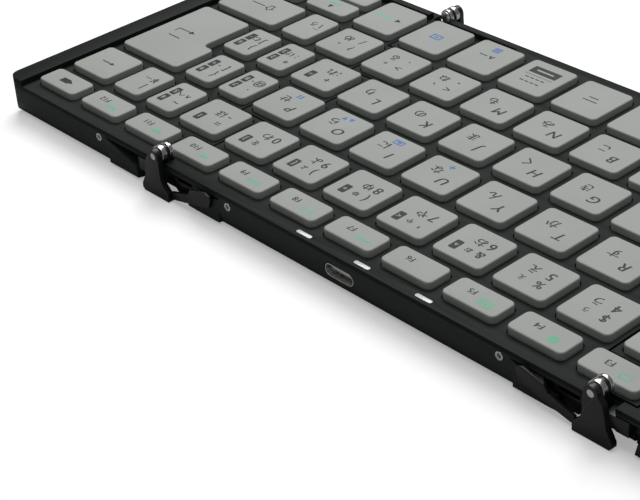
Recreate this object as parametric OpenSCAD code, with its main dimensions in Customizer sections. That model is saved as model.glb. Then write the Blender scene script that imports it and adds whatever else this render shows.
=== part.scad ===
// Three-panel folding keyboard, lying open on its feet.
// X runs to the right of the typist, Y to the back, Z up, and z = 0 is the table.
// Both side panels turn up and over the middle one about raised hinge pins.

/* [Keys] */
// Distance between the centres of two letter keys
key_pitch = 17; // [16.6:0.1:17.6]
// Gap between neighbouring keys in a row
key_gap = 3.2; // [2.9:0.05:3.5]
// Depth of a letter key, front to back
key_d = 12.65; // [12:0.05:13.2]
// Depth of a function key
function_key_d = 7.2; // [6.6:0.1:8]
// Depth of a key in the front row
front_key_d = 15.1; // [14.4:0.1:15.8]
// Width of an ordinary key in the front row
front_key_w = 13.9; // [13.2:0.1:14.3]
// Width of the narrow keys at the right of the letters
narrow_key_w = 9.8; // [9.2:0.1:10.4]
// Width of the backspace key
backspace_w = 14; // [13:0.1:16]
// Radius of a key's corners, seen from above
key_r = 1.4; // [0.8:0.1:2]
// Height of a key top above the deck
key_rise = 1.65; // [1.4:0.05:2]
// How far a key goes down
key_travel = 1; // [0.6:0.1:1]
// Running gap between a key and the edge of its hole
key_clearance = 0.3; // [0.2:0.05:0.35]
// Step between a key's edge and its holding flange
flange_w = 0.48; // [0.42:0.02:0.55]
// Wall of a key cap
cap_wall = 0.9; // [0.7:0.1:1.1]

/* [Panels] */
// Width of the raised rim at the left end
left_rim_w = 4.5; // [4:0.1:6]
// Width of the raised rim at the right end
right_rim_w = 5.7; // [5:0.1:7]
// Deck between the keys and the raised rim
rim_gap = 2; // [1.5:0.1:3]
// Flat band in front of the front row
front_band = 4.95; // [4.8:0.05:6]
// Flat band behind the function keys
back_band = 4.05; // [4:0.05:5]
// Height of the rims above the deck
rim_rise = 1.5; // [1.2:0.05:1.6]
// Thickness of the deck plate
deck_t = 1.1; // [0.9:0.1:1.3]
// Height of the frame under the deck
frame_h = 3.75; // [3.6:0.05:4.2]
// Height of the bottom cover
bottom_h = 3.4; // [3.2:0.1:4]
// Thickness of the bottom cover's floor
floor_t = 1; // [0.8:0.1:1.1]
// How far the bottom cover's lower edge is drawn in
bottom_chamfer = 0.9; // [0.5:0.1:1.4]
// Height of the rubber feet
foot_h = 0.7; // [0.5:0.1:1]
// Radius of the keyboard's outer corners
corner_r = 3; // [2:0.5:5]
// Gap between two panels along the seam
seam_gap = 0.5; // [0.3:0.05:0.7]
// Thickness of the walls along the seam
seam_wall = 0.6; // [0.5:0.05:0.65]

/* [Hinges] */
// Distance from the right end to the right fold axis
right_fold_inset = 62.3; // [61.8:0.1:62.8]
// Distance from the left end to the left fold axis
left_fold_inset = 65.2; // [64.8:0.1:65.6]
// Height of the fold axis above the key tops
axis_lift = 0.25; // [0.2:0.05:0.6]
// Radius of the hinge pins
pin_r = 0.9; // [0.7:0.05:1]
// Running gap between a pin and what turns on it
pin_clearance = 0.05; // [0.02:0.01:0.08]
// Radius of the knuckles
knuckle_r = 1.75; // [1.5:0.05:1.9]
// Radius of the bright washers
washer_r = 2; // [1.8:0.05:2.1]
// Thickness of a hinge leg
leg_t = 1.5; // [1.2:0.1:2]
// Thickness of the stop arm's outer layer
arm_t = 0.8; // [0.6:0.1:1]
// Thickness of the ear that stands between the washers
ear_t = 0.9; // [0.7:0.05:1]
// Depth of the pocket that the hinge lies in
pocket_d = 2.9; // [2.85:0.05:3]
// Gap between a leg's foot and the stop arm when open
stop_gap = 0.1; // [0.05:0.05:0.2]
// Length of the raised rib on each side of a front hinge
rib_l = 23; // [18:1:28]
// Width of that rib
rib_w = 1.9; // [1.5:0.1:2]

/* [Electronics] */
// Thickness of the steel plate under the keys
plate_t = 0.5; // [0.4:0.05:0.6]
// Thickness of the rubber dome sheet
sheet_t = 0.25; // [0.2:0.05:0.4]
// Width of the USB-C shell
usb_w = 8.94; // [8.9:0.01:9]
// Height of the USB-C shell
usb_h = 3.2; // [3.1:0.05:3.3]
// Length of the USB-C shell
usb_l = 6.5; // [6.2:0.1:6.6]
// Width of the battery
battery_w = 46; // [30:1:50]
// Depth of the battery, front to back
battery_d = 58; // [40:1:64]
// Thickness of the battery
battery_t = 2.5; // [1.8:0.1:2.6]
// Thickness of the circuit board
board_t = 0.8; // [0.6:0.1:1]
// Width of an indicator window
window_w = 4.6; // [3:0.1:7]
// Depth of an indicator window
window_d = 1.1; // [0.8:0.1:1.4]

/* [Hidden] */
$fn = 32;
eps = 0.01;
small_gap = 0.05;
seat_gap = 0.25;

// Widths of the wide keys
tab_w = 22.5;
caps_w = 26.7;
left_shift_w = 35;
left_ctrl_w = 18;
arrow_w = 15;

function sum(v, n, i = 0) = i < n ? v[i] + sum(v, n, i + 1) : 0;
function repeat(value, n) = [for (i = [0:n - 1]) value];

// The key field: twelve letter pitches, two narrow keys and the backspace key
key_w = key_pitch - key_gap;
field_w = 12 * key_pitch + 2 * (narrow_key_w + key_gap) + backspace_w;
function_key_w = (field_w - 13 * key_gap) / 14;
space_w = field_w - 11 * key_gap - left_ctrl_w - 8 * front_key_w - 2 * arrow_w;
upper_narrow = narrow_key_w;
enter_w = field_w - 13 * key_gap - tab_w - 10 * key_w - 2 * upper_narrow;
enter_low_w = field_w - 13 * key_gap - caps_w - 10 * key_w - 2 * upper_narrow;
right_shift_w = field_w - 12 * key_gap - left_shift_w - 10 * key_w - upper_narrow;

// Rows from the front to the back: key widths, depth, and the gap behind each row
row_w = [
    concat(left_ctrl_w, repeat(front_key_w, 3), space_w, repeat(front_key_w, 5), arrow_w, arrow_w),
    concat(left_shift_w, repeat(key_w, 10), upper_narrow, right_shift_w),
    concat(caps_w, repeat(key_w, 10), upper_narrow, upper_narrow),
    concat(tab_w, repeat(key_w, 10), upper_narrow, upper_narrow, enter_w),
    concat(repeat(key_w, 12), narrow_key_w, narrow_key_w, backspace_w),
    repeat(function_key_w, 14)];
row_d = [front_key_d, key_d, key_d, key_d, key_d, function_key_d];
row_gaps = [3, 3.2, 3.35, 3.4, 3.25, 0];
// First key of the middle panel and first key of the right panel in each row
row_split = [[3, 9], [2, 10], [3, 10], [3, 11], [4, 11], [3, 11]];
FRONT = 0;
LOWER = 1;
HOME = 2;
UPPER = 3;
NUMBER = 4;
FUNCTION = 5;
SPACE = 4;
ENTER = 13;
BACKSPACE = 14;
RIGHT_SHIFT = 12;

body_w = field_w + 2 * rim_gap + left_rim_w + right_rim_w;
body_d = front_band + sum(row_d, 6) + sum(row_gaps, 5) + back_band;
field_x = -body_w / 2 + left_rim_w + rim_gap;
field_y = -body_d / 2 + front_band;
function key_x(r, i) = field_x + sum(row_w[r], i) + i * key_gap;
function row_y(r) = field_y + sum(row_d, r) + sum(row_gaps, r);

// Heights
bottom_z = foot_h;
frame_z = bottom_z + bottom_h;
deck_z = frame_z + frame_h;
deck_top = deck_z + deck_t;
key_top = deck_top + key_rise;
rim_top = deck_top + rim_rise;
axis_z = key_top + axis_lift;
floor_top = bottom_z + floor_t;
flange_top = deck_z - 0.2;
flange_h = 0.5;
cap_bottom = flange_top - flange_h;
cap_ceiling = key_top - cap_wall;
sheet_top = cap_bottom - key_travel - 0.7;
plate_z = sheet_top - sheet_t - plate_t;
stem_h = 0.35;
dome_top = cap_ceiling - stem_h - key_travel - small_gap;
dome_r = 2.4;
dome_top_r = 1.4;
function_dome_r = 1.6;
function_dome_top_r = 1.1;

// Folds and seams
right_fold_x = body_w / 2 - right_fold_inset;
left_fold_x = -body_w / 2 + left_fold_inset;
half_seam = seam_gap / 2;
pocket_y = body_d / 2 - pocket_d;
band_near = 2;
band_far = 4.6;
row_ends = [for (r = [0:4]) row_y(r) + row_d[r] + row_gaps[r] / 2];
seam_ys = concat(-pocket_y, row_ends, pocket_y);
function seam_x(r, side) = key_x(r, row_split[r][side]) - key_gap / 2;
right_xs = [for (r = [0:5]) seam_x(r, 1)];
left_xs = [for (r = [0:5]) seam_x(r, 0)];
middle_right_xs = concat(right_fold_x - band_near + half_seam, right_xs,
    right_fold_x - band_near + half_seam);
side_right_xs = concat(right_fold_x + band_far - half_seam, right_xs,
    right_fold_x + band_far - half_seam);
middle_left_xs = concat(left_fold_x + band_near - half_seam, left_xs,
    left_fold_x + band_near - half_seam);
side_left_xs = concat(left_fold_x - band_far + half_seam, left_xs,
    left_fold_x - band_far + half_seam);

// Points along a stepped seam, front to back, with the material on side s
// moved back from it by g
function seam(xs, s, g, y_end) = [for (i = [0:len(xs) - 1], k = [0, 1])
    let (j = k == 0 ? i - 1 : i)
    [xs[i] + s * g, j < 0 ? -y_end : j >= len(xs) - 1 ? y_end
        : seam_ys[j] + g * s * sign(xs[j] - xs[j + 1])]];
function inner_seam(xs, s, g, y_end) = [for (i = [0:len(xs) - 1], k = [0, 1])
    let (j = k == 0 ? i - 1 : i)
    [xs[i] + s * g, j < 0 ? -y_end : j >= len(xs) - 1 ? y_end
        : row_ends[j] + g * s * sign(xs[j] - xs[j + 1])]];
function reversed(v) = [for (i = [len(v) - 1:-1:0]) v[i]];

RIGHT = 1;
MIDDLE = 0;
LEFT = -1;

module rounded_rect(x, y, w, d, r) {
    translate([x + r, y]) square([w - 2 * r, d]);
    translate([x, y + r]) square([w, d - 2 * r]);
    for (cx = [x + r, x + w - r], cy = [y + r, y + d - r]) translate([cx, cy]) circle(r);
}

// Outline of one panel, seen from above
module panel_outline(panel) {
    y_end = body_d / 2;
    intersection() {
        rounded_rect(-body_w / 2, -y_end, body_w, body_d, corner_r);
        if (panel == RIGHT)
            polygon(concat(seam(side_right_xs, 1, half_seam, y_end),
                [[body_w, y_end], [body_w, -y_end]]));
        else if (panel == LEFT)
            polygon(concat(seam(side_left_xs, -1, half_seam, y_end),
                [[-body_w, y_end], [-body_w, -y_end]]));
        else
            polygon(concat(seam(middle_right_xs, -1, half_seam, y_end),
                reversed(seam(middle_left_xs, 1, half_seam, y_end))));
    }
}

// The space inside a panel's walls, drawn in by extra
pocket_wall = 0.55;
cavity_y = body_d / 2 - pocket_d - pocket_wall;
module cavity_outline(panel, extra) {
    g = half_seam + seam_wall + extra;
    y_end = cavity_y - extra;
    right_x = field_x + field_w + 1.2 - extra;
    left_x = field_x - 1.2 + extra;
    if (panel == RIGHT)
        polygon(concat(inner_seam(right_xs, 1, g, y_end), [[right_x, y_end], [right_x, -y_end]]));
    else if (panel == LEFT)
        polygon(concat(inner_seam(left_xs, -1, g, y_end), [[left_x, y_end], [left_x, -y_end]]));
    else
        polygon(concat(inner_seam(right_xs, -1, g, y_end),
            reversed(inner_seam(left_xs, 1, g, y_end))));
}

// Lays a shape drawn at a right back hinge onto any of the four hinges.
// In it X is the distance from the fold axis towards the side panel.
module at_hinge(side, end) {
    translate([side > 0 ? right_fold_x : left_fold_x, 0, 0])
        mirror([side > 0 ? 0 : 1, 0, 0]) mirror([0, end > 0 ? 0 : 1, 0]) children();
}

// A flat shape in X and Z, from y0 outwards by t
module wall_plate(y0, t) {
    translate([0, y0 + t, 0]) rotate([90, 0, 0]) linear_extrude(t) children();
}

// Where each key of a row lies, with one margin added all round
module key_shape(r, i, grow) {
    x = key_x(r, i) - grow;
    w = row_w[r][i] + 2 * grow;
    y = row_y(r) - grow;
    d = row_d[r] + 2 * grow;
    corner = key_r + grow;
    if (r == UPPER && i == ENTER) {
        rounded_rect(x, y, w, d, corner);
        low_y = row_y(HOME) - grow;
        rounded_rect(x + w - enter_low_w - 2 * grow, low_y, enter_low_w + 2 * grow,
            y + d - low_y, corner);
    } else if (r == FRONT && i == 10) {
        half_d = (row_d[r] - arrow_gap) / 2 + 2 * grow;
        rounded_rect(x, y, w, half_d, corner);
        rounded_rect(x, y + d - half_d, w, half_d, corner);
    } else rounded_rect(x, y, w, d, corner);
}
arrow_gap = 1.3;

// Centres of the domes under one key
function dome_centres(r, i) = let (x = key_x(r, i) + row_w[r][i] / 2)
    r == FRONT && i == 10 ? [for (s = [-1, 1])
        [x, row_y(r) + row_d[r] / 2 + s * (row_d[r] + arrow_gap) / 4]]
    : [[x, row_y(r) + (r == FUNCTION ? cap_wall + small_gap + function_dome_r : row_d[r] / 2)]];
function dome_base_r(r) = r == FUNCTION ? function_dome_r : dome_r;
function dome_tip_r(r) = r == FUNCTION ? function_dome_top_r : dome_top_r;

module key(r, i) {
    difference() {
        union() {
            translate([0, 0, cap_bottom]) linear_extrude(key_top - cap_bottom) key_shape(r, i, 0);
            translate([0, 0, cap_bottom]) linear_extrude(flange_h) key_shape(r, i, flange_w);
        }
        translate([0, 0, cap_bottom - eps]) linear_extrude(cap_ceiling - cap_bottom + eps)
            key_shape(r, i, -cap_wall);
    }
    for (c = dome_centres(r, i)) translate([c.x, c.y, cap_ceiling - stem_h])
        cylinder(r = dome_tip_r(r), h = stem_h + eps);
}

module keys(r, list) {
    color("#a9aaa3") for (i = list) key(r, i);
}

// First and last key of a panel in one row
function panel_keys(panel, r) = panel == LEFT ? [0:row_split[r][0] - 1]
    : panel == MIDDLE ? [row_split[r][0]:row_split[r][1] - 1]
    : [row_split[r][1]:len(row_w[r]) - 1];

// The scoop that a hinge lies in: it ends in a point at the top and opens
// to the underside beside the leg
scoop_l = 21.7;
scoop_top = deck_z - 0.45;
scoop_tip = [scoop_l - 0.9, scoop_top - 0.5];
scoop_foot = [10, frame_z - 0.6];
// Height of the scoop's sloping floor at a distance x from the fold axis
function scoop_floor(x) = scoop_foot[1] + (scoop_tip[1] - scoop_foot[1])
    * (x - scoop_foot[0]) / (scoop_tip[0] - scoop_foot[0]);
module scoop_shape(side) {
    polygon([[side * scoop_l, scoop_top], [side * scoop_tip[0], scoop_tip[1]],
        [side * scoop_foot[0], scoop_foot[1]], [side * 9.1, bottom_z - 1],
        [-side * 6, bottom_z - 1], [-side * 6, scoop_top]]);
}
module scoops(panel) {
    for (side = [-1, 1], end = [-1, 1]) at_hinge(side, end)
        wall_plate(pocket_y, pocket_d + 1) scoop_shape(panel == MIDDLE ? -1 : 1);
}

usb_x = field_x + field_w * 0.528;
usb_z = bottom_z + floor_t + 0.3 + board_t + usb_h / 2;
module usb_slot(grow) {
    r = usb_h / 2 + grow;
    flat = usb_w / 2 - usb_h / 2;
    translate([usb_x, 0, usb_z]) {
        for (s = [-1, 1]) translate([s * flat, 0, 0]) rotate([-90, 0, 0]) cylinder(r = r, h = body_d);
        translate([-flat, 0, -r]) cube([2 * flat, body_d, 2 * r]);
    }
}

anchor_r = 1.05;
anchor_x = 24.2;
anchor_z = frame_z + 2.25;
anchor_l = 2.4;
module anchor_holes(sign_x) {
    for (side = [-1, 1], end = [-1, 1]) at_hinge(side, end)
        translate([sign_x * anchor_x, body_d / 2 - anchor_l, anchor_z]) rotate([-90, 0, 0])
            cylinder(r = anchor_r + small_gap, h = anchor_l + 1);
}

module deck(panel) {
    color("#2b302e") difference() {
        union() {
            translate([0, 0, deck_z]) linear_extrude(deck_t) difference() {
                panel_outline(panel);
                for (r = [0:5], i = panel_keys(panel, r)) key_shape(r, i, key_clearance);
                if (panel == MIDDLE) windows_outline(small_gap);
            }
            if (panel != MIDDLE) end_rim(panel);
            for (side = [-1, 1]) if (panel == MIDDLE || panel == side) at_hinge(side, -1)
                front_rib(panel == MIDDLE ? -1 : 1);
        }
    }
}

// The raised rim at an outer end
module end_rim(panel) {
    w = panel == RIGHT ? right_rim_w : left_rim_w;
    x = panel == RIGHT ? body_w / 2 - w : -body_w / 2;
    translate([0, 0, deck_top - eps]) linear_extrude(rim_rise + eps) intersection() {
        panel_outline(panel);
        translate([x, -body_d / 2]) square([w, body_d]);
    }
}

// The raised rib beside a front hinge, with a sloping far end
module front_rib(side) {
    near = side > 0 ? band_far + 0.6 : band_near + 0.3;
    y = body_d / 2 - front_band + 0.8;
    wall_plate(y, rib_w) polygon([[side * near, deck_top - eps], [side * near, rim_top],
        [side * (near + rib_l), rim_top], [side * (near + rib_l + 2.5), deck_top - eps]]);
}

module frame(panel) {
    color("#262a28") difference() {
        translate([0, 0, frame_z]) linear_extrude(frame_h) difference() {
            panel_outline(panel);
            cavity_outline(panel, 0);
        }
        scoops(panel);
        anchor_holes(panel == MIDDLE ? -1 : 1);
        if (panel == MIDDLE) usb_slot(0.2);
    }
}

// Side-on outline of the bottom cover with its lower edges drawn in
module bottom_profile(width) {
    polygon([[-width / 2 + bottom_chamfer, bottom_z], [width / 2 - bottom_chamfer, bottom_z],
        [width / 2, frame_z], [-width / 2, frame_z]]);
}

skirt_near = 9.3;
skirt_l = 11.4;
skirt_d = 6;
module bottom(panel) {
    color("#232725") difference() {
        union() {
            intersection() {
                translate([0, 0, bottom_z]) linear_extrude(bottom_h) panel_outline(panel);
                rotate([90, 0, 90]) translate([0, 0, -body_w]) linear_extrude(2 * body_w)
                    bottom_profile(body_d);
                translate([0, body_d, 0]) rotate([90, 0, 0]) linear_extrude(2 * body_d)
                    bottom_profile(body_w);
            }
            for (side = [-1, 1], end = [-1, 1]) if (panel == MIDDLE || panel == side)
                at_hinge(side, end) skirt(panel == MIDDLE ? -1 : 1);
        }
        translate([0, 0, floor_top]) linear_extrude(bottom_h) cavity_outline(panel, 0);
        scoops(panel);
        if (panel == MIDDLE) usb_slot(0.2);
    }
    color("#232725") for (p = posts(panel)) translate([p.x, p.y, floor_top - eps])
        cylinder(r = post_r, h = plate_z - floor_top + eps);
    if (panel == MIDDLE) color("#232725")
        for (x = [board_x + 3, board_x + board_w - 3], y = [board_back - 27, board_back - 3])
            translate([x, y, floor_top - eps]) cylinder(r = post_r, h = boss_h + eps);
}

// The square block over a rubber foot, flush with the wall
module skirt(side) {
    x = side > 0 ? skirt_near : -skirt_near - skirt_l;
    translate([x, body_d / 2 - skirt_d, bottom_z]) cube([skirt_l, skirt_d, bottom_h]);
}

// Posts that carry the key plate
post_r = 1.5;
function posts(panel) = let (y = cavity_y - 6)
    panel == MIDDLE ? [for (x = [left_fold_x + 8, right_fold_x - 12], q = [-y, 0, y]) [x, q]]
    : let (fold = panel == RIGHT ? right_fold_x : left_fold_x)
        [for (u = [16, 50], q = [-y, 0, y]) [fold + panel * u, q]];

module key_plate(panel) {
    color("#8d9294") difference() {
        translate([0, 0, plate_z]) linear_extrude(plate_t) cavity_outline(panel, seat_gap);
        if (panel == MIDDLE) usb_cutout();
    }
}

module usb_cutout() {
    translate([usb_x - usb_w / 2 - 0.8, body_d / 2 - usb_l - 0.4, floor_top])
        cube([usb_w + 1.6, usb_l, key_top]);
}

module domes(panel) {
    color("#c9cbc6") difference() {
        union() {
            translate([0, 0, plate_z + plate_t]) linear_extrude(sheet_t)
                cavity_outline(panel, seat_gap);
            for (r = [0:5], i = panel_keys(panel, r), c = dome_centres(r, i))
                translate([c.x, c.y, sheet_top - eps])
                    cylinder(r1 = dome_base_r(r), r2 = dome_tip_r(r), h = dome_top - sheet_top + eps);
        }
        if (panel == MIDDLE) usb_cutout();
    }
}

// Circuit board with its controller, crystal and connectors
boss_h = 0.3;
board_x = usb_x - 10;
board_w = 44;
board_d = 30;
board_back = cavity_y - 0.5;
connector_w = 5;
module main_board() {
    z = floor_top + boss_h;
    top = z + board_t - eps;
    color("#1f5a3a") translate([board_x, board_back - board_d, z])
        cube([board_w, board_d, board_t]);
    color("#1b1b1b") {
        translate([board_x + 16, board_back - 18, top]) cube([7, 7, 0.9]);
        translate([board_x + 27, board_back - 26, top]) cube([5, 4, 0.8]);
        translate([board_x + 28, board_back - 9, top]) cube([3.2, 2.5, 0.7]);
    }
    color("#d8d2c0") for (x = [board_x + 2, board_x + board_w - connector_w - 2])
        translate([x, ribbon_y - 0.5, top])
            cube([connector_w, ribbon_w + 1, plate_z - ribbon_t - top]);
}

module battery() {
    color("#9aa0a6") translate([board_x - battery_w - 4, -battery_d / 2, floor_top])
        linear_extrude(battery_t) rounded_rect(0, 0, battery_w, battery_d, 2);
}

module usb_socket() {
    y0 = body_d / 2 - usb_l - 0.2;
    color("#c8ccd0") difference() {
        intersection() {
            usb_slot(0);
            translate([-body_w, y0, 0]) cube([2 * body_w, usb_l, key_top]);
        }
        difference() {
            usb_slot(-0.3);
            translate([-body_w, -eps, 0]) cube([2 * body_w, y0 + 1, key_top]);
        }
    }
    color("#1b1b1b") translate([usb_x - 3.35, y0 + 1 - eps, usb_z - 0.35]) cube([6.7, usb_l - 2, 0.7]);
}

window_y = body_d / 2 - 1.55;
window_step = 18;
module windows_outline(grow) {
    for (k = [-1, 0, 1])
        rounded_rect(usb_x - 6 + k * window_step - window_w / 2 - grow,
            window_y - window_d / 2 - grow, window_w + 2 * grow, window_d + 2 * grow,
            window_d / 2 + grow - eps);
}
module indicator_windows() {
    color("#e9ebe6") translate([0, 0, deck_z]) linear_extrude(deck_t) windows_outline(0);
}

// Flat ribbons from the board to the key plates, ending at the panel's edges
ribbon_w = 8;
ribbon_t = 0.15;
ribbon_y = row_y(NUMBER) + 1;
module ribbon_cables() {
    wall_gap = half_seam + seam_wall + seat_gap;
    right_start = board_x + board_w - connector_w - 2;
    right_l = right_xs[NUMBER] - wall_gap - right_start;
    left_end = left_xs[NUMBER] + wall_gap;
    left_l = board_x + connector_w + 2 - left_end;
    color("#c77d2c") translate([0, ribbon_y, plate_z - ribbon_t]) {
        translate([right_start, 0, 0]) cube([right_l, ribbon_w, ribbon_t]);
        translate([left_end, 0, 0]) cube([left_l, ribbon_w, ribbon_t]);
    }
}

// Y places of the hinge stack, from the wall outwards
leg_y = body_d / 2 + 0.25;
ear_y = pocket_y + 0.85;
washer_gap = 0.08;
head_t = 0.4;
head_y = pocket_y - head_t;

// Leg outline: a knuckle on the fold axis, a straight shank and a flared foot
module leg_shape() {
    foot_z = 0.15;
    polygon([[-4.2, foot_z], [-4.2, 2.4], [-2.5, 4], [-1.9, 5.6], [-knuckle_r, axis_z],
        [knuckle_r, axis_z], [2.9, axis_z - 1.4], [3.4, 7.5], [3.9, 4.5], [5.4, 1.8],
        [5.4, 0.8], [4.8, foot_z]]);
    translate([0, axis_z]) circle(knuckle_r);
}
module leg(side, end) {
    color("#1c1f1e") at_hinge(side, end) difference() {
        union() {
            wall_plate(leg_y, leg_t) leg_shape();
            wall_plate(pocket_y, leg_y - pocket_y + eps) polygon([[2.4, scoop_top - 2],
                [2.4, scoop_top - 0.15], [8, scoop_top - 0.15], [8, scoop_top - 3.4],
                [5.2, scoop_top - 3.4]]);
            wall_plate(pocket_y, 0.8) polygon([[5.2, scoop_top - 0.15],
                [19, scoop_top - 0.15], [10.2, frame_z - 0.3], [5.2, frame_z - 0.3]]);
        }
        pin_bore(pin_r + 0.02);
    }
}

module pin_bore(r) {
    translate([0, pocket_y - 2, axis_z]) rotate([-90, 0, 0]) cylinder(r = r, h = pocket_d + 8);
}

// Bracket outline in the middle panel's scoop, with its ear on the fold axis,
// and the stop arm that a leg's foot comes up against
module bracket(side, end) {
    stop_x = -4.2 - stop_gap;
    block_near = 12.6;
    block_far = 18;
    color("#1c1f1e") at_hinge(side, end) difference() {
        union() {
            wall_plate(pocket_y, ear_y + ear_t - pocket_y) bracket_plate_shape();
            wall_plate(ear_y, ear_t) {
                polygon([[-4, scoop_top - 3], [-4, scoop_top - 0.15], [-2, scoop_top - 0.15],
                    [-knuckle_r, axis_z], [knuckle_r, axis_z], [knuckle_r, scoop_top - 1.5],
                    [0.6, scoop_top - 3]]);
                translate([0, axis_z]) circle(knuckle_r);
            }
            wall_plate(ear_y + ear_t - eps, body_d / 2 + 0.15 - ear_y - ear_t + 2 * eps)
                polygon([[-block_far, scoop_floor(block_far) + seat_gap],
                    [-block_far, scoop_top - 0.3], [-block_near, scoop_top - 0.3],
                    [-block_near, scoop_floor(block_near) + seat_gap]]);
            wall_plate(body_d / 2 + 0.15, arm_t) arm_shape(stop_x);
        }
        pin_bore(pin_r + pin_clearance);
        bracket_slot();
    }
}
module bracket_plate_shape() {
    polygon([[-19.6, scoop_top - 0.15], [-19, scoop_top - 0.6], [-9.8, frame_z - 0.3],
        [-9, 1.6], [-5, 1.6], [-2.2, scoop_top - 3], [-2.2, scoop_top - 0.15]]);
}
module arm_shape(stop_x) {
    polygon([[stop_x, 1], [stop_x, 2.7], [-10.9, 4.6], [-12, 6.4], [-17.4, 7.7],
        [-18.9, 7.2], [-19.2, 6.2], [-18.4, 4.1], [-17.4, 3.7], [-5.3, 1]]);
}
module bracket_slot() {
    slot_r = 0.45;
    wall_plate(pocket_y, pocket_d) translate([-7.4, scoop_top - 1.9]) {
        for (s = [-1, 1]) translate([s * 2.2, 0]) circle(slot_r);
        translate([-2.2, -slot_r]) square([4.4, 2 * slot_r]);
    }
}

module hinge_pin(side, end) {
    color("#b9bdbf") at_hinge(side, end) translate([0, head_y, axis_z]) rotate([-90, 0, 0]) {
        cylinder(r = knuckle_r - 0.2, h = head_t);
        cylinder(r = pin_r, h = leg_y + leg_t - head_y);
    }
}
module right_hinge_pins() {
    for (end = [-1, 1]) hinge_pin(1, end);
}
module left_hinge_pins() {
    for (end = [-1, 1]) hinge_pin(-1, end);
}

module washer(y0, t) {
    translate([0, y0, axis_z]) rotate([-90, 0, 0]) difference() {
        cylinder(r = washer_r, h = t);
        translate([0, 0, -eps]) cylinder(r = pin_r + pin_clearance, h = t + 2 * eps);
    }
}
module hinge_washers() {
    color("#d0d3d5") for (side = [-1, 1], end = [-1, 1]) at_hinge(side, end) {
        washer(ear_y + ear_t, leg_y - ear_y - ear_t - washer_gap);
        washer(pocket_y + washer_gap, ear_y - pocket_y - washer_gap);
    }
}

module anchor_pins(side, sign_x) {
    color("#c8ccce") for (end = [-1, 1]) at_hinge(side, end)
        translate([sign_x * anchor_x, body_d / 2 - anchor_l, anchor_z])
            rotate([-90, 0, 0]) difference() {
                cylinder(r = anchor_r, h = anchor_l + 0.1);
                translate([0, 0, anchor_l - 1]) cylinder(r = anchor_r / 2, h = 2);
            }
}
module right_anchor_pins() anchor_pins(1, 1);
module left_anchor_pins() anchor_pins(-1, 1);
module middle_anchor_pins() {
    for (side = [-1, 1]) anchor_pins(side, -1);
}

// Rubber pads under the skirts and under the outer corners
pad_inset = 0.6;
module foot_pad(x, y, w, d) {
    linear_extrude(foot_h) rounded_rect(x, y, w, d, 1.5);
}
module hinge_pads(side, sign_x) {
    x = sign_x > 0 ? skirt_near : -skirt_near - skirt_l;
    for (end = [-1, 1]) at_hinge(side, end)
        foot_pad(x + pad_inset, body_d / 2 - skirt_d + pad_inset, skirt_l - 2 * pad_inset,
            skirt_d - 2 * pad_inset);
}
module side_feet(panel) {
    inset = panel == RIGHT ? right_fold_inset : left_fold_inset;
    color("#141515") {
        hinge_pads(panel, 1);
        for (end = [-1, 1]) at_hinge(panel, end)
            foot_pad(inset - 18, body_d / 2 - 9, 12, 5);
    }
}
module right_feet() side_feet(RIGHT);
module left_feet() side_feet(LEFT);
module middle_feet() {
    color("#141515") for (side = [-1, 1]) hinge_pads(side, -1);
}

deck(RIGHT);  // right_deck
frame(RIGHT);  // right_frame
bottom(RIGHT);  // right_bottom
key_plate(RIGHT);  // right_key_plate
domes(RIGHT);  // right_domes
deck(MIDDLE);  // middle_deck
frame(MIDDLE);  // middle_frame
bottom(MIDDLE);  // middle_bottom
key_plate(MIDDLE);  // middle_key_plate
domes(MIDDLE);  // middle_domes
deck(LEFT);  // left_deck
frame(LEFT);  // left_frame
bottom(LEFT);  // left_bottom
key_plate(LEFT);  // left_key_plate
domes(LEFT);  // left_domes
main_board();
battery();
usb_socket();
indicator_windows();
ribbon_cables();
leg(1, 1);  // right_back_leg
leg(1, -1);  // right_front_leg
leg(-1, 1);  // left_back_leg
leg(-1, -1);  // left_front_leg
bracket(1, 1);  // right_back_bracket
bracket(1, -1);  // right_front_bracket
bracket(-1, 1);  // left_back_bracket
bracket(-1, -1);  // left_front_bracket
right_hinge_pins();
left_hinge_pins();
hinge_washers();
right_anchor_pins();
middle_anchor_pins();
left_anchor_pins();
right_feet();
middle_feet();
left_feet();
keys(FUNCTION, panel_keys(LEFT, FUNCTION));  // left_function_keys
keys(NUMBER, panel_keys(LEFT, NUMBER));  // left_number_keys
keys(UPPER, panel_keys(LEFT, UPPER));  // left_upper_keys
keys(HOME, panel_keys(LEFT, HOME));  // left_home_keys
keys(LOWER, panel_keys(LEFT, LOWER));  // left_lower_keys
keys(FRONT, panel_keys(LEFT, FRONT));  // left_front_keys
keys(FUNCTION, panel_keys(MIDDLE, FUNCTION));  // middle_function_keys
keys(NUMBER, panel_keys(MIDDLE, NUMBER));  // middle_number_keys
keys(UPPER, panel_keys(MIDDLE, UPPER));  // middle_upper_keys
keys(HOME, panel_keys(MIDDLE, HOME));  // middle_home_keys
keys(LOWER, panel_keys(MIDDLE, LOWER));  // middle_lower_keys
keys(FRONT, [3, 5, 6, 7, 8]);  // middle_front_keys
keys(FRONT, [SPACE]);  // space_bar
keys(FUNCTION, panel_keys(RIGHT, FUNCTION));  // right_function_keys
keys(NUMBER, [11, 12, 13]);  // right_number_keys
keys(UPPER, [11, 12]);  // right_upper_keys
keys(HOME, panel_keys(RIGHT, HOME));  // right_home_keys
keys(LOWER, [10, 11]);  // right_lower_keys
keys(FRONT, panel_keys(RIGHT, FRONT));  // arrow_keys
keys(NUMBER, [BACKSPACE]);  // backspace_key
keys(UPPER, [ENTER]);  // enter_key
keys(LOWER, [RIGHT_SHIFT]);  // right_shift_key
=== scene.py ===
import itertools
import math

import bmesh
import bpy
from mathutils import Matrix, Vector


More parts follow.
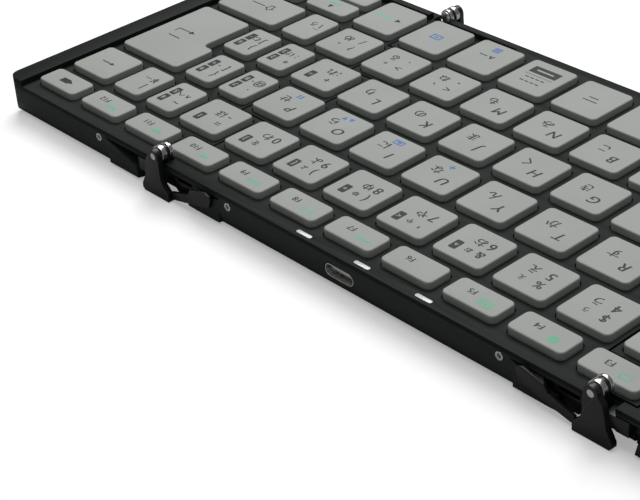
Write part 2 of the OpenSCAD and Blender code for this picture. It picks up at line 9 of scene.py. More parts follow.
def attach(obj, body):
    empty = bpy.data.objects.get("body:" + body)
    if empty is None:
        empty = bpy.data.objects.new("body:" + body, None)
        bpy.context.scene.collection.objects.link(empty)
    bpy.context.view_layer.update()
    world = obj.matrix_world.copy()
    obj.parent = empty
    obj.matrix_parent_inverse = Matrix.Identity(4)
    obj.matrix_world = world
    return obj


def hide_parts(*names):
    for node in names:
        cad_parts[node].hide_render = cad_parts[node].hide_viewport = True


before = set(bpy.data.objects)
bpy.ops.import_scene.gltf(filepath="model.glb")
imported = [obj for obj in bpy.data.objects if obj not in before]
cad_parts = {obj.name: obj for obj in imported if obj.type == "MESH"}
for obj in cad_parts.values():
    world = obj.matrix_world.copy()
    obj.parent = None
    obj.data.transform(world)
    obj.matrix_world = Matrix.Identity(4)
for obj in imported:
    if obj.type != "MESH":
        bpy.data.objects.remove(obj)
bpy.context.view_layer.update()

MM = 0.001


# Camera.
# The keyboard is seen from behind its left end with a long lens, so that the keys' legends
# stand upside down and the back wall of the middle panel faces the camera.
camera_data = bpy.data.cameras.new("photo_camera")
camera_data.lens = 99.27
camera_data.sensor_width = 36.0
camera = bpy.data.objects.new("photo_camera", camera_data)
camera.location = (-0.22856, 0.2515, 0.21033)
camera.rotation_euler = [math.radians(a) for a in (57.2013, 3.4999, -132.3867)]
bpy.context.scene.collection.objects.link(camera)
bpy.context.scene.camera = camera
bpy.context.scene.view_settings.view_transform = "Standard"


# Floor and studio light.
# A seamless white table under one big soft lamp beyond the near right corner and a weaker
# one overhead, in a weak white room. The keys' sides towards the camera stay dark.
def linear(hex_colour):
    """An sRGB hex colour as linear red, green, blue and alpha."""
    values = [int(hex_colour[i:i + 2], 16) / 255 for i in (1, 3, 5)]
    return [v / 12.92 if v <= 0.04045 else ((v + 0.055) / 1.055) ** 2.4 for v in values] + [1.0]


def add(tree, kind, links=None, **settings):
    """A node with its settings, and its inputs set to a value or linked from a socket."""
    made = tree.nodes.new(kind)
    for name, value in settings.items():
        setattr(made, name, value)
    for name, value in (links or {}).items():
        if isinstance(value, bpy.types.NodeSocket):
            tree.links.new(value, made.inputs[name])
        else:
            made.inputs[name].default_value = value
    return made


def new_material(name):
    material = bpy.data.materials.new(name)
    material.use_nodes = True
    material.node_tree.nodes.clear()
    return material, material.node_tree


FLOOR_SIZE = 6.0
PAPER_GLOW = 0.34
ROOM_LIGHT = 0.14
floor_material, tree = new_material("white_seamless_paper")
paths = add(tree, "ShaderNodeLightPath")
paper = add(tree, "ShaderNodeBsdfDiffuse", {"Color": linear("#f4f4f4")})
white = add(tree, "ShaderNodeEmission", {"Color": linear("#ffffff"), "Strength": PAPER_GLOW})
lit = add(tree, "ShaderNodeAddShader", {0: paper.outputs[0], 1: white.outputs[0]})
dim = add(tree, "ShaderNodeBsdfDiffuse", {"Color": linear("#b4b4b4")})
shown = add(tree, "ShaderNodeMixShader", {0: paths.outputs["Is Camera Ray"],
                                          1: dim.outputs[0], 2: lit.outputs[0]})
add(tree, "ShaderNodeOutputMaterial", {"Surface": shown.outputs[0]})
floor_mesh = bpy.data.meshes.new("floor")
bm = bmesh.new()
bmesh.ops.create_grid(bm, x_segments=1, y_segments=1, size=FLOOR_SIZE / 2)
bm.to_mesh(floor_mesh)
bm.free()
floor_mesh.materials.append(floor_material)
floor = bpy.data.objects.new("floor", floor_mesh)
bpy.context.scene.collection.objects.link(floor)

world = bpy.data.worlds.new("room")
bpy.context.scene.world = world
world.use_nodes = True
world.node_tree.nodes.clear()
paths = add(world.node_tree, "ShaderNodeLightPath")
seen = add(world.node_tree, "ShaderNodeMath", {0: paths.outputs["Is Camera Ray"],
                                               1: paths.outputs["Is Transmission Ray"]},
           operation="MAXIMUM")
strength = add(world.node_tree, "ShaderNodeMapRange",
               {"Value": seen.outputs[0], "To Min": ROOM_LIGHT, "To Max": 1.0})
room = add(world.node_tree, "ShaderNodeBackground",
           {"Color": linear("#ffffff"), "Strength": strength.outputs[0]})
add(world.node_tree, "ShaderNodeOutputWorld", {"Surface": room.outputs[0]})


def soft_lamp(name, place, target, size, watts):
    """A square area lamp of that size in metres, turned towards a point."""
    data = bpy.data.lights.new(name, "AREA")
    data.size = size
    data.energy = watts
    lamp = bpy.data.objects.new(name, data)
    lamp.location = place
    aim = Vector(target) - Vector(place)
    lamp.rotation_euler = aim.to_track_quat("-Z", "Y").to_euler()
    bpy.context.scene.collection.objects.link(lamp)
    return lamp


soft_lamp("big_softbox", (0.5, -0.6, 1.0), (0.0, 0.0, 0.0), 0.8, 10.0)
soft_lamp("top_softbox", (0.0, 0.0, 1.1), (0.0, 0.0, 0.0), 0.8, 3.5)


# Deck plates, frames and bottom covers.
# Three shells of ABS plastic, one to a panel: a deck plate with a hole for each key, a frame
# under it and a cover below, moulded in a fine matt greenish charcoal with softened edges.
DRIFT_MM = 14
WELD_MM = 0.002
FLAT_DEGREES = 0.5
SHARP_DEGREES = 40
SMOOTH_DEGREES = 35


def moulded(name, hex_colour, roughness, grain_mm, depth_mm, shift=0.06, coat=0.0,
            shine=0.5):
    """Injection-moulded plastic: spark-eroded grain, and a slight drift in its colour."""
    material, tree = new_material(name)
    place = add(tree, "ShaderNodeTexCoord").outputs["Object"]
    grain = add(tree, "ShaderNodeTexNoise", {"Vector": place, "Scale": 1 / (grain_mm * MM),
                                             "Detail": 3.0, "Roughness": 0.6})
    drift = add(tree, "ShaderNodeTexNoise", {"Vector": place, "Scale": 1 / (DRIFT_MM * MM),
                                             "Detail": 2.0})
    base = linear(hex_colour)
    dark = [c * (1 - shift) for c in base[:3]] + [1.0]
    light = [min(1.0, c * (1 + shift)) for c in base[:3]] + [1.0]
    mixed = add(tree, "ShaderNodeMath", {0: grain.outputs["Fac"], 1: drift.outputs["Fac"]},
                operation="ADD")
    half = add(tree, "ShaderNodeMath", {0: mixed.outputs[0], 1: 0.5}, operation="MULTIPLY")
    tint = add(tree, "ShaderNodeValToRGB", {"Fac": half.outputs[0]})
    tint.color_ramp.elements[0].position = 0.35
    tint.color_ramp.elements[0].color = dark
    tint.color_ramp.elements[1].position = 0.65
    tint.color_ramp.elements[1].color = light
    bump = add(tree, "ShaderNodeBump", {"Height": grain.outputs["Fac"], "Strength": 0.5,
                                        "Distance": depth_mm * MM})
    surface = add(tree, "ShaderNodeBsdfPrincipled",
                  {"Base Color": tint.outputs["Color"], "Roughness": roughness, "IOR": 1.5,
                   "Normal": bump.outputs["Normal"], "Coat Weight": coat,
                   "Specular IOR Level": shine})
    add(tree, "ShaderNodeOutputMaterial", {"Surface": surface.outputs[0]})
    return material


def collect(name, bm, materials):
    """The finished bmesh as an object at the origin, smooth but for its sharp edges."""
    mesh = bpy.data.meshes.new(name)
    bm.to_mesh(mesh)
    bm.free()
    for material in materials:
        mesh.materials.append(material)
    mesh.shade_smooth()
    mesh.set_sharp_from_angle(angle=math.radians(SMOOTH_DEGREES))
    made = bpy.data.objects.new(name, mesh)
    bpy.context.scene.collection.objects.link(made)
    return made


def softened(node, body, material, radius_mm, segments=2):
    """The node's own solid with its sharp edges rounded, which stands for it."""
    bm = bmesh.new()
    bm.from_mesh(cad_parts[node].data)
    bmesh.ops.remove_doubles(bm, verts=bm.verts, dist=WELD_MM * MM)
    bmesh.ops.dissolve_limit(bm, angle_limit=math.radians(FLAT_DEGREES), verts=bm.verts,
                             edges=bm.edges)
    sharp = [e for e in bm.edges if len(e.link_faces) == 2
             and e.calc_face_angle(0) > math.radians(SHARP_DEGREES)]
    bmesh.ops.bevel(bm, geom=sharp, offset=radius_mm * MM, offset_type="OFFSET",
                    segments=segments, profile=0.5, affect="EDGES", clamp_overlap=True,
                    material=-1)
    for face in bm.faces:
        face.material_index = 0
    piece = collect(node + "_shell", bm, [material])
    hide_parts(node)
    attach(piece, body)
    return piece


DECK_EDGE = 0.12
BOTTOM_EDGE = 0.15
case_plastic = moulded("charcoal_moulded_abs", "#111917", 0.62, 0.3, 0.02, shine=0.18)
cover_plastic = moulded("charcoal_moulded_abs_cover", "#2b302e", 0.62, 0.4, 0.03, shine=0.3)
for panel in ("right", "middle", "left"):
    softened(panel + "_deck", panel + "_panel", case_plastic, DECK_EDGE)
    softened(panel + "_frame", panel + "_panel", cover_plastic, DECK_EDGE)
    softened(panel + "_bottom", panel + "_panel", cover_plastic, BOTTOM_EDGE)


# Key caps.
# Flat caps of pale grey PBT with straight sides and softly rounded rims, each hollow
# underneath. Caps of one row and panel are one piece, because they move together.
KEY_PITCH = 17.0
KEY_GAP = 3.2
KEY_W = KEY_PITCH - KEY_GAP
NARROW_W = 9.8
BACKSPACE_W = 14.0
FIELD_W = 12 * KEY_PITCH + 2 * (NARROW_W + KEY_GAP) + BACKSPACE_W
FUNCTION_W = (FIELD_W - 13 * KEY_GAP) / 14
FRONT_W = 13.9
ARROW_W = 15.0
TAB_W, CAPS_W, SHIFT_W, CTRL_W = 22.5, 26.7, 35.0, 18.0
SPACE_W = FIELD_W - 11 * KEY_GAP - CTRL_W - 8 * FRONT_W - 2 * ARROW_W
ENTER_W = FIELD_W - 13 * KEY_GAP - TAB_W - 10 * KEY_W - 2 * NARROW_W
ENTER_LOW_W = FIELD_W - 13 * KEY_GAP - CAPS_W - 10 * KEY_W - 2 * NARROW_W
RIGHT_SHIFT_W = FIELD_W - 12 * KEY_GAP - SHIFT_W - 10 * KEY_W - NARROW_W
ROW_NAMES = ("front", "lower", "home", "upper", "number", "function")
ROW_WIDTHS = (
    [CTRL_W] + [FRONT_W] * 3 + [SPACE_W] + [FRONT_W] * 5 + [ARROW_W] * 2,
    [SHIFT_W] + [KEY_W] * 10 + [NARROW_W, RIGHT_SHIFT_W],
    [CAPS_W] + [KEY_W] * 10 + [NARROW_W] * 2,
    [TAB_W] + [KEY_W] * 10 + [NARROW_W] * 2 + [ENTER_W],
    [KEY_W] * 12 + [NARROW_W] * 2 + [BACKSPACE_W],
    [FUNCTION_W] * 14,
)
ROW_DEPTHS = (15.1, 12.65, 12.65, 12.65, 12.65, 7.2)
ROW_GAPS = (3.0, 3.2, 3.35, 3.4, 3.25, 0.0)
ROW_SPLITS = ((3, 9), (2, 10), (3, 10), (3, 11), (4, 11), (3, 11))
SPECIAL_GROUPS = {(0, 4): "space_bar", (3, 13): "enter_key", (4, 14): "backspace_key",
                  (1, 12): "right_shift_key"}
FIELD_X = -258.2 / 2 + 6.5
FIELD_Y = -98.1 / 2 + 4.95
KEY_TOP = 10.6
KEY_FOOT = 7.15
CAP_WALL = 0.9
CORNER = 1.4
RIM = 0.38
ARROW_GAP = 1.3


def key_box(row, i):
    """Lower left corner, width and depth of a key, in millimetres."""
    x = FIELD_X + sum(ROW_WIDTHS[row][:i]) + i * KEY_GAP
    y = FIELD_Y + sum(ROW_DEPTHS[:row]) + sum(ROW_GAPS[:row])
    return x, y, ROW_WIDTHS[row][i], ROW_DEPTHS[row]


def group_of(row, i):
    """The CAD node, which is also the body, that a key belongs to, and its panel."""
    panel = "left" if i < ROW_SPLITS[row][0] else "middle" if i < ROW_SPLITS[row][1] else "right"
    if (row, i) in SPECIAL_GROUPS:
        return SPECIAL_GROUPS[(row, i)]
    if row == 0 and panel == "right":
        return "arrow_keys"
    return f"{panel}_{ROW_NAMES[row]}_keys"


def rectangle(x, y, w, d):
    return [(x, y), (x + w, y), (x + w, y + d), (x, y + d)]


def cap(bm, outline):
    """Adds one hollow key cap with that outline to the bmesh."""
    part = bmesh.new()
    corners = [part.verts.new((x * MM, y * MM, KEY_FOOT * MM)) for x, y in outline]
    part.faces.new(corners)
    bmesh.ops.bevel(part, geom=list(part.verts), offset=CORNER * MM, offset_type="OFFSET",
                    segments=6, profile=0.5, affect="VERTICES", material=-1)
    bmesh.ops.recalc_face_normals(part, faces=part.faces)
    foot = part.faces[:]
    raised = bmesh.ops.extrude_face_region(part, geom=foot, use_keep_orig=True)
    top_verts = [v for v in raised["geom"] if isinstance(v, bmesh.types.BMVert)]
    bmesh.ops.translate(part, verts=top_verts, vec=(0, 0, (KEY_TOP - KEY_FOOT) * MM))
    bmesh.ops.recalc_face_normals(part, faces=part.faces)
    top = [f for f in part.faces if f.normal.z > 0.9]
    rim = [e for f in top for e in f.edges]
    bmesh.ops.bevel(part, geom=rim, offset=RIM * MM, offset_type="OFFSET", segments=4,
                    profile=0.5, affect="EDGES", material=-1)
    under = [f for f in part.faces if f.normal.z < -0.9]
    bmesh.ops.inset_region(part, faces=under, thickness=CAP_WALL * MM, use_even_offset=True)
    hollow = bmesh.ops.extrude_face_region(part, geom=under)
    deep = [v for v in hollow["geom"] if isinstance(v, bmesh.types.BMVert)]
    bmesh.ops.translate(part, verts=deep, vec=(0, 0, (KEY_TOP - CAP_WALL - KEY_FOOT) * MM))
    bmesh.ops.recalc_face_normals(part, faces=part.faces)
    mesh = bpy.data.meshes.new("cap")
    part.to_mesh(mesh)
    part.free()
    bm.from_mesh(mesh)
    bpy.data.meshes.remove(mesh)


key_plastic = moulded("pale_grey_moulded_pbt", "#a5a9a4", 0.62, 0.32, 0.025, shift=0.05)
key_groups = {}
for row, widths in enumerate(ROW_WIDTHS):
    for i in range(len(widths)):
        key_groups.setdefault(group_of(row, i), []).append((row, i))
for group, members in key_groups.items():
    bm = bmesh.new()
    for row, i in members:
        x, y, w, d = key_box(row, i)
        if (row, i) == (3, 13):
            low_y = key_box(2, 0)[1]
            right = x + w
            outline = [(right - ENTER_LOW_W, low_y), (right, low_y), (right, y + d), (x, y + d),
                       (x, y), (right - ENTER_LOW_W, y)]
            cap(bm, outline)
        elif (row, i) == (0, 10):
            half = (d - ARROW_GAP) / 2
            cap(bm, rectangle(x, y, w, half))
            cap(bm, rectangle(x, y + d - half, w, half))
        else:
            cap(bm, rectangle(x, y, w, d))
    piece = collect(group + "_caps", bm, [key_plastic])
    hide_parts(group)
    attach(piece, group)


# Key legends.
# Printed on the caps in near-black, blue and green: the letters, digits, signs and syllables
# of a common layout, with plain pictograms on the wide keys and the front row.
INK_LIFT = 0.012
INK_SINK = 0.02
LATIN_CAP = 0.70
KANA_BODY = 0.82
STROKE_SWELL = 0.02
TWIN_RISE = 0.05
INK_STEP = 0.0015
ink_steps = itertools.cycle(range(6))
BLACK, BLUE, GREEN, PALE = range(4)


def printed(name, hex_colour, roughness):
    """Pad-printed ink: a thin matt film with a faintly uneven edge to its colour."""
    return moulded(name, hex_colour, roughness, 0.2, 0.003, shift=0.1)


inks = [printed("black_pad_print", "#0f1010", 0.6), printed("blue_pad_print", "#4672bd", 0.6),
        printed("green_pad_print", "#66c096", 0.6), printed("pale_pad_print", "#a9aba4", 0.6)]
glyph_meshes = {}


def glyph(character):
    """A character as a flat slab, centred on its own box, with its strokes drawn twice."""
    if character not in glyph_meshes:
        curve = bpy.data.curves.new("glyph", "FONT")
        curve.body = character
        curve.resolution_u = 3
        curve.extrude = 0.5
        holder = bpy.data.objects.new("glyph", curve)
        bpy.context.scene.collection.objects.link(holder)
        graph = bpy.context.evaluated_depsgraph_get()
        mesh = bpy.data.meshes.new_from_object(holder.evaluated_get(graph))
        bpy.data.objects.remove(holder)
        bpy.data.curves.remove(curve)
        lows = [min(v.co[k] for v in mesh.vertices) for k in (0, 1)]
        highs = [max(v.co[k] for v in mesh.vertices) for k in (0, 1)]
        mesh.transform(Matrix.Translation((-(lows[0] + highs[0]) / 2 - STROKE_SWELL,
                                           -(lows[1] + highs[1]) / 2, 0)))
        twin = mesh.copy()
        twin.transform(Matrix.Translation((2 * STROKE_SWELL, 0, TWIN_RISE)))
        pair = bmesh.new()
        pair.from_mesh(mesh)
        pair.from_mesh(twin)
        pair.to_mesh(mesh)
        pair.free()
        bpy.data.meshes.remove(twin)
        glyph_meshes[character] = mesh
    return glyph_meshes[character]


def stamp(bm, mesh, x, y, size, colour, slant=0.0, layer=0):
    """Adds a flat slab at a place in millimetres on the key tops."""
    low = KEY_TOP - INK_SINK
    high = KEY_TOP + INK_LIFT * (1 + layer) + INK_STEP * next(ink_steps)
    place = (Matrix.Translation((x * MM, y * MM, (low + high) / 2 * MM))
             @ Matrix(((1, slant, 0, 0), (0, 1, 0, 0), (0, 0, 1, 0), (0, 0, 0, 1)))
             @ Matrix.Diagonal((size * MM, size * MM, (high - low) * MM, 1)))
    count = len(bm.faces)
    placed = mesh.copy()
    placed.transform(place)
    bm.from_mesh(placed)
    bpy.data.meshes.remove(placed)
    bm.faces.ensure_lookup_table()
    for face in bm.faces[count:]:
        face.material_index = colour


def letter(bm, character, x, y, height, colour=BLACK, slant=0.0, layer=0):
    stamp(bm, glyph(character), x, y, height / LATIN_CAP, colour, slant, layer)


def kana(bm, character, x, y, height):
    stamp(bm, glyph(character), x, y, height / KANA_BODY, BLACK)


def shape(bm, points, x, y, colour=BLACK, layer=0):
    """A flat shape given by its corners in millimetres around a place."""
    part = bmesh.new()
    part.faces.new([part.verts.new((px, py, -0.5)) for px, py in points])
    bmesh.ops.recalc_face_normals(part, faces=part.faces)
    raised = bmesh.ops.extrude_face_region(part, geom=part.faces[:], use_keep_orig=True)
    lifted = [v for v in raised["geom"] if isinstance(v, bmesh.types.BMVert)]
    bmesh.ops.translate(part, verts=lifted, vec=(0, 0, 1))
    bmesh.ops.recalc_face_normals(part, faces=part.faces)
    mesh = bpy.data.meshes.new("shape")
    part.to_mesh(mesh)
    part.free()
    stamp(bm, mesh, x, y, 1.0, colour, layer=layer)
    bpy.data.meshes.remove(mesh)


def bar(bm, x, y, w, h, colour=BLACK, layer=0):
    shape(bm, [(-w / 2, -h / 2), (w / 2, -h / 2), (w / 2, h / 2), (-w / 2, h / 2)],
          x, y, colour, layer)


def triangle(bm, x, y, size, direction, colour=BLACK):
    """A solid arrowhead that points right, up, left or down (0 to 3)."""
    points = [(size / 2, 0), (-size / 2, size / 2), (-size / 2, -size / 2)]
    for _ in range(direction):
        points = [(-b, a) for a, b in points]
    shape(bm, points, x, y, colour)


def frame_mark(bm, x, y, w, h, line, colour=BLACK):
    """A rectangle drawn as four bars."""
    for s in (-1, 1):
        bar(bm, x, y + s * (h - line) / 2, w, line, colour)
        bar(bm, x + s * (w - line) / 2, y, line, h - 2 * line, colour)


def boxed(bm, character, x, y):
    """A small black box with a pale sign in it."""
    shape(bm, [(-1.0, -1.45), (-0.75, -1.7), (0.75, -1.7), (1.0, -1.45),
               (1.0, 1.45), (0.75, 1.7), (-0.75, 1.7), (-1.0, 1.45)], x, y)
    letter(bm, character, x, y, 1.5, PALE, layer=1)


def long_arrow(bm, x, y, length, direction):
    """A thin arrow that points left (-1) or right (1)."""
    bar(bm, x, y, length, 0.35)
    triangle(bm, x + direction * (length / 2 - 0.3), y, 1.3, 0 if direction > 0 else 2)


def shift_arrow(bm, x, y, colour=BLACK):
    """A hollow upward arrow."""
    line = 0.3
    for s in (-1, 1):
        shape(bm, [(0, 1.5), (0, 1.05), (s * 1.05, 0.1), (s * 1.55, 0.1)], x, y, colour)
        bar(bm, x + s * 1.1, y + 0.1, 0.7, line, colour)
        bar(bm, x + s * 0.7, y - 0.7, line, 1.4, colour)
    bar(bm, x, y - 1.35, 1.7, line, colour)


def enter_arrow(bm, x, y):
    bar(bm, x, y - 0.6, 5.6, 0.35)
    bar(bm, x + 2.65, y + 0.3, 0.35, 1.6)
    triangle(bm, x - 2.6, y - 0.6, 1.6, 2)


LETTERS = {3: "QWERTYUIOP", 2: "ASDFGHJKL", 1: "ZXCVBNM"}
SYLLABLES = {3: "たていすかんなにらせ", 2: "ちとしはきくまのり", 1: "つさそひこみも"}
NUMBER_SIGNS = ("1!ぬ", "2\"ふ", "3#あぁ", "4$うぅ", "5%えぇ", "6&おぉ", "7'やゃ", "8(ゆゅ",
                "9)よょ", "0 わを", "-=ほ")
NUMBER_BOXES = {6: "^", 7: "<", 8: "*", 9: "[", 10: "]", 11: "1"}
NARROW_SIGNS = {(4, 12): ("~", "^", "へ", "4", "5"), (4, 13): ("|", "¥", "ー", "", ""),
                (3, 11): ("`", "@", "゛", "7", "8"), (3, 12): ("{", "[", "゜", "9", "+"),
                (2, 11): ("*", ":", "け", "2", "3"), (2, 12): ("}", "]", "む", "6", "-"),
                (1, 11): ("_", "\\", "ろ", "", "")}
PAIR_SIGNS = {(1, 8): ("<", ",", "、", "ね"), (1, 9): (">", ".", "。", "る"),
              (1, 10): ("?", "/", "・", "め"), (2, 10): ("+", ";", "", "れ")}


def legends(bm, row, i):
    """Prints one key's legends. Places are measured from the cap's left and back edges."""
    x, y, w, d = key_box(row, i)
    back = y + d
    mid_x, mid_y = x + w / 2, y + d / 2
    if row in LETTERS and 1 <= i <= len(LETTERS[row]):
        letter(bm, LETTERS[row][i - 1], x + 4.4, back - 4.4, 2.75, slant=0.18)
        kana(bm, SYLLABLES[row][i - 1], x + 8.9, back - 7.4, 2.8)
        if row == 3 and i >= 7:
            blue_mark(bm, i - 7, x + 6.9, back - 10.2)
    elif row == 4 and 1 <= i <= 11:
        signs = NUMBER_SIGNS[i - 1]
        narrow = i in NUMBER_BOXES
        left, right = (3.6, 6.7) if narrow else (4.3, 8.9)
        letter(bm, signs[0], x + left, back - 8.0, 2.65)
        if signs[1] != " ":
            low = 0.75 if signs[1] in "'\"" else 0.0
            letter(bm, signs[1], x + left, back - 4.2 + low, 2.4)
        kana(bm, signs[2], x + right, back - 7.9, 2.6)
        if len(signs) > 3:
            kana(bm, signs[3], x + right, back - 4.1, 1.9)
        if narrow:
            boxed(bm, NUMBER_BOXES[i], x + 10.1, back - 4.1)
    elif (row, i) in NARROW_SIGNS:
        upper, lower, syllable, first, second = NARROW_SIGNS[(row, i)]
        letter(bm, upper, x + 2.6, back - (4.2 if upper != "_" else 6.0), 2.3)
        letter(bm, lower, x + 2.6, back - 8.0, 2.3)
        kana(bm, syllable, x + 5.1, back - 8.0, 2.1)
        if first:
            boxed(bm, first, x + 7.3, back - 4.2)
            boxed(bm, second, x + 7.3, back - 8.1)
    elif (row, i) in PAIR_SIGNS:
        upper, lower, dot, syllable = PAIR_SIGNS[(row, i)]
        letter(bm, upper, x + 4.4, back - 4.4, 2.4)
        letter(bm, lower, x + 4.4, back - 8.6, 2.4)
        if dot:
            kana(bm, dot, x + 8.9, back - 4.6, 2.4)
        kana(bm, syllable, x + (8.9 if row == 1 else 6.7), back - 8.1, 2.6)
        if row == 2:
            boxed(bm, "=", x + 10.1, back - 4.2)
    elif row == 5:
        function_legend(bm, i, x, back)
    elif (row, i) == (4, 0):
        letter(bm, "½", mid_x, mid_y, 2.6)
    elif (row, i) == (4, 14):
        long_arrow(bm, mid_x, mid_y, 4.4, -1)
    elif (row, i) == (3, 0):
        long_arrow(bm, x + 6.0, mid_y + 0.8, 4.4, -1)
        long_arrow(bm, x + 6.0, mid_y - 0.8, 4.4, 1)
    elif (row, i) == (3, 13):
        enter_arrow(bm, x + 14.4, y - 1.9)
        bar(bm, x + 14.4, y + 1.6, 4.4, 0.35)
    elif (row, i) == (2, 0):
        shift_arrow(bm, x + 5.0, mid_y + 0.3)
        bar(bm, x + 5.0, mid_y - 2.2, 2.4, 0.35)
    elif (row, i) in ((1, 0), (1, 12)):
        shift_arrow(bm, x + 8.4, mid_y - 0.4)
        bar(bm, x + 13.0, mid_y - 0.5, 5.0, 0.35)
    elif row == 0:
        front_legend(bm, i, x, y, mid_x, mid_y)


def blue_mark(bm, kind, x, y):
    """Small blue pictograms under four of the letters."""
    if kind == 0:
        bar(bm, x, y, 1.7, 0.4, BLUE)
        bar(bm, x, y, 0.4, 1.7, BLUE)
    elif kind == 1:
        frame_mark(bm, x, y, 3.0, 1.8, 0.35, BLUE)
        bar(bm, x, y - 0.1, 1.2, 0.7, BLUE)
    elif kind == 2:
        triangle(bm, x - 1.0, y, 1.5, 1, BLUE)
        triangle(bm, x + 1.0, y, 1.5, 3, BLUE)
    else:
        for s in (-1, 1):
            bar(bm, x + s * 0.55, y, 0.5, 1.7, BLUE)


def function_legend(bm, i, x, back):
    """A function key's number, and a small green pictogram for its second use."""
    if 1 <= i <= 12:
        label_x = x + 9.3
        letter(bm, f"F{i}", label_x, back - 4.2, 1.6)
    elif i == 13:
        triangle(bm, x + 5.6, back - 3.6, 1.9, 2)
        bar(bm, x + 7.6, back - 3.6, 3.0, 1.9)
    else:
        bar(bm, x + 6.0, back - 3.6, 1.8, 0.35)
        triangle(bm, x + 7.6, back - 3.6, 1.3, 0)
    mx, my = x + 4.4, back - 2.7
    if i == 4:
        shape(bm, [(-1.4, 0.1), (0, 1.2), (1.4, 0.1), (0.9, 0.1), (0.9, -1.0), (-0.9, -1.0),
                   (-0.9, 0.1)], mx, my, GREEN)
    elif i == 5:
        frame_mark(bm, mx, my, 3.6, 2.2, 0.35, GREEN)
        for s in (-1, 0, 1):
            bar(bm, mx + s * 0.9, my, 0.55, 0.9, GREEN)
    elif i in (7, 9):
        side = 2 if i == 7 else 0
        for s in (-0.8, 0.8):
            triangle(bm, mx + s, my, 1.5, side, GREEN)
        bar(bm, mx + (-1.9 if i == 7 else 1.9), my, 0.35, 1.5, GREEN)
    elif i == 8:
        triangle(bm, mx - 0.9, my, 1.5, 0, GREEN)
        for s in (0.6, 1.4):
            bar(bm, mx + s, my, 0.4, 1.5, GREEN)
    elif i >= 10 and i <= 12:
        bar(bm, mx - 0.9, my, 0.7, 0.9, GREEN)
        triangle(bm, mx - 0.1, my, 1.9, 2, GREEN)
        if i > 10:
            bar(bm, mx + 1.6, my, 1.2, 0.3, GREEN)
        if i == 12:
            bar(bm, mx + 1.6, my, 0.3, 1.2, GREEN)
    elif 1 <= i <= 3:
        frame_mark(bm, mx, my, 2.6, 1.8, 0.3, GREEN)


def front_legend(bm, i, x, y, mid_x, mid_y):
    """Pictograms of the front row: control keys, the blue second-function key and arrows."""
    if i in (0, 7):
        letter(bm, "^", mid_x - 1.4, mid_y - 0.5, 2.6)
        bar(bm, mid_x + 1.3, mid_y - 0.6, 2.6, 0.35)
    if i == 7:
        frame_mark(bm, mid_x, y + 3.2, 2.2, 2.2, 0.45, BLUE)
        bar(bm, mid_x, y + 3.2, 0.8, 0.8, BLUE)
    elif i == 1:
        frame_mark(bm, mid_x, mid_y, 3.0, 3.0, 0.35)
    elif i in (2, 3, 5):
        bar(bm, mid_x, mid_y + 0.8, 4.2, 0.35)
        bar(bm, mid_x, mid_y - 0.8, 2.8, 0.35)
    elif i == 6:
        for row_y in (3.1, 1.0):
            for k in (-1.5, -0.5, 0.5, 1.5):
                bar(bm, mid_x + k * 1.6, mid_y + row_y, 1.1, 0.4)
        bar(bm, mid_x, mid_y - 0.4, 8.6, 0.15)
        bar(bm, mid_x, mid_y - 3.0, 8.4, 3.2)
        bar(bm, mid_x, mid_y - 3.0, 5.2, 0.6, PALE, layer=1)
    elif i == 8:
        frame_mark(bm, mid_x, mid_y, 3.4, 2.4, 0.45, BLUE)
        bar(bm, mid_x, mid_y, 1.4, 0.5, BLUE)
    elif i in (9, 11):
        side = -1 if i == 9 else 1
        triangle(bm, mid_x + side * 3.2, mid_y, 1.7, 1 - side)
        bar(bm, mid_x - side * 2.0, mid_y, 4.6, 0.8, GREEN)
    elif i == 10:
        for side in (-1, 1):
            half_y = mid_y + side * (ROW_DEPTHS[0] + ARROW_GAP) / 4
            triangle(bm, mid_x, half_y + side * 1.0, 1.7, 2 - side)
            bar(bm, mid_x, half_y - side * 1.2, 4.0, 0.8, GREEN)


for group, members in key_groups.items():
    bm = bmesh.new()
    for row, i in members:
        legends(bm, row, i)
    if bm.faces:
        piece = collect(group + "_legends", bm, inks)
        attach(piece, group)
    else:
        bm.free()


# Fold hinges.
# Die-cast zinc legs and stop arms painted satin black, hung on steel pins between bright
# nickel-plated washers, one hinge at each end of both folds.
def plated(name, hex_colour, roughness, line_mm):
    """Nickel-plated turned steel: bright, with faint turning marks round the pin's length."""
    material, tree = new_material(name)
    place = add(tree, "ShaderNodeTexCoord").outputs["Object"]
    stretched = add(tree, "ShaderNodeMapping", {"Vector": place, "Scale": (1.0, 6.0, 1.0)})
    marks = add(tree, "ShaderNodeTexNoise", {"Vector": stretched.outputs[0],
                                             "Scale": 1 / (line_mm * MM), "Detail": 2.0})
    rough = add(tree, "ShaderNodeMapRange", {"Value": marks.outputs["Fac"],
                                             "To Min": roughness * 0.7,
                                             "To Max": roughness * 1.4})
    bump = add(tree, "ShaderNodeBump", {"Height": marks.outputs["Fac"], "Strength": 0.3,
                                        "Distance": 0.01 * MM})
    surface = add(tree, "ShaderNodeBsdfPrincipled",
                  {"Base Color": linear(hex_colour), "Metallic": 1.0,
                   "Roughness": rough.outputs[0], "Normal": bump.outputs["Normal"]})
    add(tree, "ShaderNodeOutputMaterial", {"Surface": surface.outputs[0]})
    return material


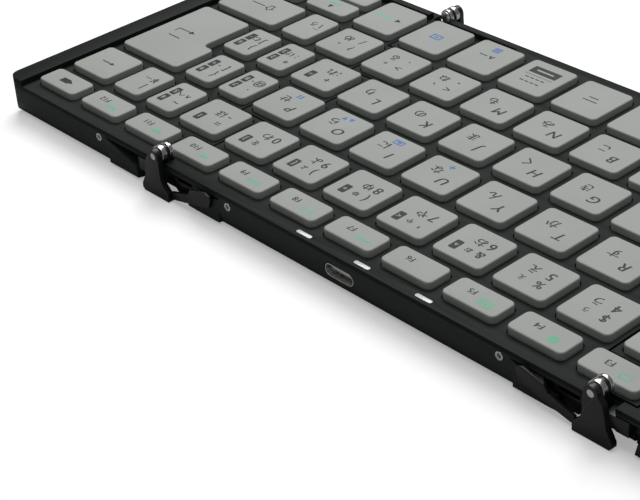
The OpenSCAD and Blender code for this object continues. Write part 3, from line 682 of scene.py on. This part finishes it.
LEG_EDGE = 0.22
BRACKET_EDGE = 0.18
PIN_EDGE = 0.12
WASHER_EDGE = 0.1
black_paint = moulded("satin_black_paint", "#161818", 0.42, 0.5, 0.02, shift=0.08)
nickel = plated("nickel_plated_steel", "#d4d5d3", 0.22, 0.6)
for side in ("right", "left"):
    for end in ("back", "front"):
        softened(f"{side}_{end}_leg", side + "_panel", black_paint, LEG_EDGE)
        softened(f"{side}_{end}_bracket", "middle_panel", black_paint,
                 BRACKET_EDGE)
    softened(side + "_hinge_pins", side + "_panel", nickel, PIN_EDGE)
softened("hinge_washers", "middle_panel", nickel, WASHER_EDGE)
for panel in ("right", "middle", "left"):
    softened(panel + "_anchor_pins", panel + "_panel", nickel, PIN_EDGE)


# Rubber feet.
# Flat pads of black silicone rubber, die-cut and glued under the skirts and the outer corners.
foot_rubber = moulded("black_silicone_rubber", "#1a1b1b", 0.8, 0.25, 0.03)
for panel in ("right", "middle", "left"):
    softened(panel + "_feet", panel + "_panel", foot_rubber, 0.15)


# USB-C socket and indicator windows.
# A deep-drawn nickel-plated shell round a black tongue, and three milky acrylic light guides
# set flush in the back band.
def dress(node, material):
    """Gives a CAD node, whose shape is right as it is, its material."""
    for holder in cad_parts[node].material_slots:
        holder.material = material


softened("usb_socket", "middle_panel", nickel, 0.06)
window_acrylic = moulded("milky_acrylic", "#dfe3de", 0.3, 1.5, 0.004, shift=0.02, coat=0.5)
softened("indicator_windows", "middle_panel", window_acrylic, 0.05)


# Inner parts.
# Stamped steel key plates, silicone dome sheets, the green circuit board, a foil battery
# pouch and polyimide ribbons. They only show through the key holes' running gaps.
dress("main_board", moulded("green_solder_resist", "#1d5a3b", 0.35, 0.8, 0.01, coat=0.3))
dress("battery", plated("aluminium_laminate_foil", "#a5abb1", 0.4, 3.0))
dress("ribbon_cables", moulded("polyimide_film", "#b8742f", 0.3, 2.0, 0.005, coat=0.4))
plate_steel = plated("rolled_spring_steel", "#8e9396", 0.35, 2.5)
dome_silicone = moulded("grey_silicone_rubber", "#c6c8c3", 0.7, 0.4, 0.02)
for panel in ("right", "middle", "left"):
    dress(panel + "_key_plate", plate_steel)
    dress(panel + "_domes", dome_silicone)
